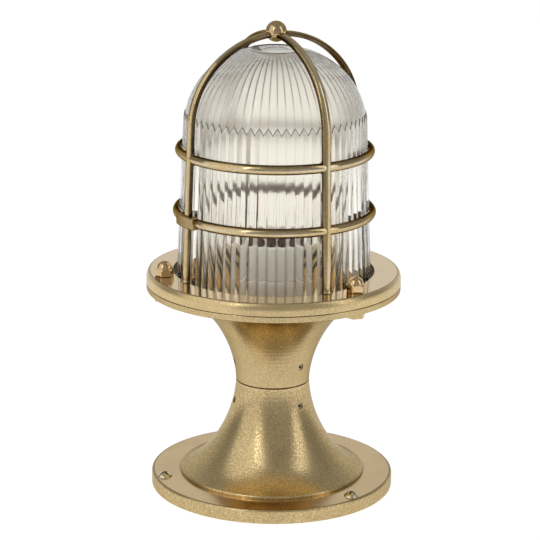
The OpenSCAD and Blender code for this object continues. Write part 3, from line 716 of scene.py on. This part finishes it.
# Stage
def stage_material(name, colour, glow, mirrored):
    """A plain diffuse surface with a glow that the camera, metal and glass see, so that it looks white."""
    finish = bpy.data.materials.new(name)
    finish.use_nodes = True
    tree = finish.node_tree
    tree.nodes.clear()
    out = tree.nodes.new("ShaderNodeOutputMaterial")
    diffuse = node(tree, "ShaderNodeBsdfDiffuse", Color=(*colour, 1.0))
    emission = node(tree, "ShaderNodeEmission", Color=(1, 1, 1, 1))
    path = tree.nodes.new("ShaderNodeLightPath")
    seen = math_node(tree, "ADD", path.outputs["Is Camera Ray"], path.outputs["Is Transmission Ray"], clamp=True)
    strength = math_node(tree, "MULTIPLY", path.outputs["Is Glossy Ray"], mirrored)
    strength = math_node(tree, "MAXIMUM", strength, math_node(tree, "MULTIPLY", seen, glow))
    tree.links.new(strength, emission.inputs["Strength"])
    both = tree.nodes.new("ShaderNodeAddShader")
    tree.links.new(diffuse.outputs[0], both.inputs[0])
    tree.links.new(emission.outputs[0], both.inputs[1])
    tree.links.new(both.outputs[0], out.inputs[0])
    return finish


def stage_plane(name, size_x, size_y, matrix, finish):
    mesh = bpy.data.meshes.new(name)
    bm = bmesh.new()
    bmesh.ops.create_grid(bm, x_segments=1, y_segments=1, size=0.5)
    bmesh.ops.scale(bm, vec=(size_x, size_y, 1), verts=bm.verts)
    bmesh.ops.transform(bm, matrix=matrix, verts=bm.verts)
    bm.to_mesh(mesh)
    bm.free()
    mesh.materials.append(finish)
    plane = bpy.data.objects.new(name, mesh)
    scene.collection.objects.link(plane)
    return plane


def look_at(place, target=(0, 0, 0.14)):
    place, target = Vector(place), Vector(target)
    return Matrix.Translation(place) @ (target - place).to_track_quat("-Z", "Y").to_matrix().to_4x4()


floor_finish = stage_material("white_floor", (0.5, 0.5, 0.5), 0.84, 0.6)
card_finish = stage_material("dark_card", (0.02, 0.02, 0.02), 0.33, 0.33)
stage_plane("floor", 24, 24, Matrix.Translation((0, 0, -0.0004)), floor_finish)
leaning = Matrix.Translation((0.32, -1.18, 0.77)) @ Matrix.Rotation(math.radians(-57), 4, "X")
card = stage_plane("dark_card", 1.5, 1.83, leaning, card_finish)
card.visible_camera = card.visible_diffuse = card.visible_shadow = card.visible_transmission = False


def soft_box(name, place, size_x, size_y, power):
    lamp = bpy.data.lights.new(name, "AREA")
    lamp.shape, lamp.size, lamp.size_y, lamp.energy = "RECTANGLE", size_x, size_y, power
    box = bpy.data.objects.new(name, lamp)
    box.matrix_world = look_at(place)
    scene.collection.objects.link(box)
    return box


soft_box("left_soft_box", (-1.12, -0.7, 0.95), 1.8, 1.9, 6.5)
soft_box("left_bright_strip", (-0.72, -1.05, 1.0), 0.1, 0.9, 0.9)
soft_box("right_soft_box", (1.14, -0.52, 0.8), 0.5, 1.4, 2.1)


def studio_world():
    """White to the camera and through the glass. For the rest it is bright behind the light, grey on the other
    sides and dimmer overhead."""
    world = bpy.data.worlds.new("studio")
    scene.world = world
    world.use_nodes = True
    tree = world.node_tree
    separate = node(tree, "ShaderNodeSeparateXYZ")
    tree.links.new(tree.nodes.new("ShaderNodeTexCoord").outputs["Generated"], separate.inputs[0])
    overhead = map_range(tree, separate.outputs[2], 0.3, 0.85)
    behind = map_range(tree, separate.outputs[1], 0.3, 0.95)
    around = mix_colour(tree, behind, (0.24, 0.24, 0.235), (0.66, 0.66, 0.645))
    room = mix_colour(tree, overhead, around, (0.3, 0.3, 0.3))
    path = tree.nodes.new("ShaderNodeLightPath")
    seen = math_node(tree, "ADD", path.outputs["Is Camera Ray"], path.outputs["Is Transmission Ray"], clamp=True)
    tree.links.new(mix_colour(tree, seen, room, (1.0, 1.0, 1.0)), tree.nodes["Background"].inputs["Color"])


studio_world()
scene.view_settings.view_transform = "Standard"

# Camera
CAMERA_DISTANCE, CAMERA_RISE, CAMERA_TILT = 1.323, math.radians(15.52), math.radians(0.58)
target = Vector((-0.0022, 0, 0.1316))
forward = Vector((0, math.cos(CAMERA_RISE), -math.sin(CAMERA_RISE)))
level = Vector((1, 0, 0))
upward = level.cross(forward)
right = level * math.cos(CAMERA_TILT) + upward * math.sin(CAMERA_TILT)
up = upward * math.cos(CAMERA_TILT) - level * math.sin(CAMERA_TILT)
camera = bpy.data.objects.new("camera", bpy.data.cameras.new("camera"))
camera.data.sensor_width = 36
camera.data.lens = 2243 / 540 * 36
camera.data.clip_start, camera.data.clip_end = 0.05, 60
turn = Matrix((right, up, -forward)).transposed().to_4x4()
camera.matrix_world = Matrix.Translation(target - forward * CAMERA_DISTANCE) @ turn
scene.collection.objects.link(camera)
scene.camera = camera
